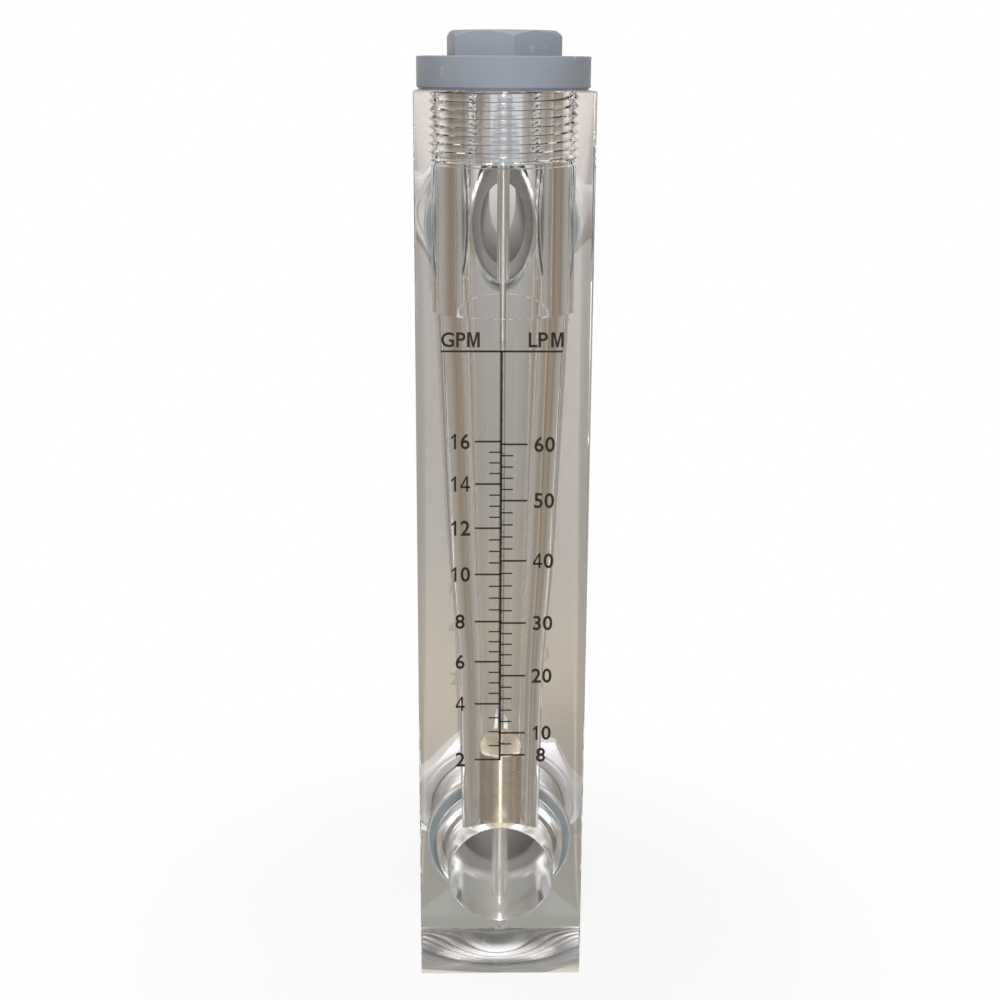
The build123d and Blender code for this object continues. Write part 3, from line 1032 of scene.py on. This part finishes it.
def gleam_share(tree, flat):
    """A narrow streak of painted light straight in front, seen only in what stands inside the acrylic."""
    parts = added(tree, "ShaderNodeSeparateXYZ", {"Vector": flat})
    away = math_node(tree, "ABSOLUTE", math_node(tree, "ADD", parts.outputs["X"], 0.02))
    narrow = ramp(tree, away, (0.0, 1.0), (0.05, 0.8), (0.09, 0.22), (0.25, 0.0))
    ahead = math_node(tree, "LESS_THAN", parts.outputs["Y"], 0.0)
    path = added(tree, "ShaderNodeLightPath")
    deep = math_node(tree, "GREATER_THAN", path.outputs["Ray Depth"], 2.5)
    return math_node(tree, "MULTIPLY", narrow, math_node(tree, "MULTIPLY", ahead, deep))


def room_walls():
    """World: white for the camera, toned in the acrylic and the steel, and a weak fill light for the rest."""
    world = bpy.data.worlds.new("room")
    bpy.context.scene.world = world
    world.use_nodes = True
    tree = world.node_tree
    back = next(n for n in tree.nodes if n.type == "BACKGROUND")
    place = added(tree, "ShaderNodeTexCoord")
    direction = place.outputs["Generated"]
    parts = added(tree, "ShaderNodeSeparateXYZ", {"Vector": direction})
    height = mapped(tree, parts.outputs["Z"], -0.05, 0.95)
    toned = room_tones(tree, direction, height, wall_tones, wall_streaks)[0]
    seen, camera_ray = seen_through(tree)
    tree.links.new(blend(tree, seen, white, toned), back.inputs["Color"])
    plain = math_node(tree, "MAXIMUM", camera_ray, seen)
    tree.links.new(mapped(tree, plain, to_low=fill_light), back.inputs["Strength"])


def glowing(tree, colour, strength=1.0):
    """Shader that shines in a colour."""
    return added(tree, "ShaderNodeEmission", {"Color": colour, "Strength": strength}).outputs["Emission"]


def floor_piece():
    """Floor: white to the camera with a soft shadow near the meter, and toned as seen in the acrylic, where
    it glows with a painted shadow of the block near the meter.
    """
    mesh = bpy.data.meshes.new("floor")
    reach = 40.0
    level = -0.0006
    corners = [(-reach, -reach, level), (reach, -reach, level), (reach, reach, level), (-reach, reach, level)]
    mesh.from_pydata(corners, [], [(0, 1, 2, 3)])
    floor = linked("floor", mesh)
    material, tree, surface = shader("pale_floor")
    surface.inputs["Base Color"].default_value = (0.9, 0.9, 0.9, 1)
    surface.inputs["Roughness"].default_value = 0.9
    place = added(tree, "ShaderNodeTexCoord")
    where = place.outputs["Object"]
    distance = added(tree, "ShaderNodeVectorMath", {0: where}, operation="LENGTH").outputs["Value"]
    away = mapped(tree, distance, 0.045, 0.15, 0.78, 1.0, "SMOOTHSTEP")
    direct = mixed(tree, away, surface.outputs["BSDF"], glowing(tree, white))
    reading = mapped(tree, distance, 0.0, floor_reading_reach)
    # Painted shadow: the glowing floor tones are darker close to the meter
    toned, level_direction = room_tones(tree, where, reading, floor_tones, floor_streaks)
    # Painted highlight: the floor glows with a bright streak straight in front
    lit = blend(tree, gleam_share(tree, level_direction), toned, gleam_colour)
    seen, camera_ray = seen_through(tree)
    others = mixed(tree, camera_ray, glowing(tree, white, floor_fill), direct)
    use_surface(tree, mixed(tree, seen, others, glowing(tree, lit)))
    mesh.materials.append(material)


def lamp(name, place, size, power):
    """Square area lamp that lights the pieces but doesn't show in the acrylic or the steel."""
    light = bpy.data.lights.new(name, "AREA")
    light.shape = "RECTANGLE"
    light.size = size
    light.size_y = size
    light.energy = power
    holder = linked(name, light)
    holder.location = place
    holder.rotation_euler = (Vector(lamp_target) - Vector(place)).to_track_quat("-Z", "Y").to_euler()
    holder.visible_glossy = False
    holder.visible_transmission = False


def camera():
    """Camera at the photograph's place: a little above the plug and to its left, tilted down."""
    distance = 356.0 - front_y
    above_top = 5.7
    turn_left = 1.1
    tilt = 14.65
    roll = 0.3
    focal_pixels = 1472.0
    picture_pixels = 1000
    data = bpy.data.cameras.new("camera")
    data.sensor_width = 36.0
    data.lens = focal_pixels / picture_pixels * data.sensor_width
    data.shift_x = -0.0016
    data.shift_y = -0.0495
    data.clip_start = 0.01
    data.clip_end = 100.0
    holder = linked("camera", data)
    aim = Matrix.Rotation(math.radians(90 - tilt), 4, "X") @ Matrix.Rotation(math.radians(roll), 4, "Z")
    stand = Matrix.Translation(Vector((0, -distance, block_top + above_top)) * MM)
    holder.matrix_world = Matrix.Rotation(math.radians(-turn_left), 4, "Z") @ stand @ aim
    bpy.context.scene.camera = holder


def make_stage():
    """Camera, room, floor and lamps."""
    camera()
    room_walls()
    floor_piece()
    lamp("front_box", (0.0, -1.0, 0.55), 0.3, 10.0)
    lamp("top_box", (-0.15, 0.1, 1.1), 0.6, 4.0)
    bpy.context.scene.view_settings.view_transform = "Standard"
    for kind in ("max_bounces", "glossy_bounces", "transmission_bounces"):
        setattr(bpy.context.scene.cycles, kind, light_bounces)


def make_meter_and_plug(ridges, seal):
    """Block, plug and everything on the bore's axis."""
    plastic = turned_plastic("grey_plastic", (0.265, 0.29, 0.335), (0.24, 0.262, 0.302))
    make_block(ridges, polished_acrylic(), bored_acrylic(), milled_acrylic())
    make_plug(ridges, plastic)
    outer = seal_inner_radius + seal_width
    outline = box_outline(seal_inner_radius, outer, block_top, block_top + seal_height)
    make_ring("plug_seal_ring", "plug_seal", "plug_seal", seal, outline, seal_round)
    make_rod(steel("rod_steel", (0.66, 0.64, 0.61), 0.16, 0.05))
    sleeve = sleeve_plastic()
    for node, body in (("upper_stop_sleeve", "plug"), ("lower_stop_sleeve", "meter")):
        low, high = node_box(node)
        outline = box_outline(rod_bore_radius, high.x, low.z, high.z)
        make_ring(f"{node}_tube", body, node, sleeve, outline, sleeve_round)
    make_float(steel("float_steel", (0.74, 0.64, 0.51), 0.30, 0.02, spread=0.85))


def make_ports(ridges, seal):
    """Connector, seal, washer and nut at each port."""
    turned_metal = steel("fitting_steel", (0.72, 0.72, 0.73), 0.24, 0.1, axis="Y")
    # Painted shade: a darker copy of the fitting steel, for the connector's bore and front end
    bore_shade_metal = steel("fitting_steel_bore_shade", (0.36, 0.355, 0.36), 0.42, 0.1, axis="Y")
    satin_metal = steel("fitting_steel_satin", (0.90, 0.90, 0.92), 0.45, 0.1, axis="Y")
    for side, port_z in (("inlet", inlet_z), ("outlet", outlet_z)):
        make_connector(side, port_z, ridges, turned_metal, bore_shade_metal)
        pocket_floor = rear_y - seal_pocket_depth
        outline = box_outline(port_seal_inner_radius, port_seal_outer_radius, pocket_floor, rear_y)
        make_ring(f"{side}_seal_ring", "meter", f"{side}_seal", seal, outline,
                  port_seal_round, port_z)
        low, high = node_box(f"{side}_panel_washer")
        outline = box_outline(washer_bore_radius, washer_radius, low.y, high.y)
        make_ring(f"{side}_washer_ring", f"{side}_washer", f"{side}_panel_washer",
                  satin_metal, outline, washer_round, port_z)
        make_nut(side, port_z, ridges, satin_metal)


make_stage()
thread_ridges = ridge_tree()
seal_silicone = rubber()
make_meter_and_plug(thread_ridges, seal_silicone)
make_ports(thread_ridges, seal_silicone)
make_print(marks_tree(), printed_ink())
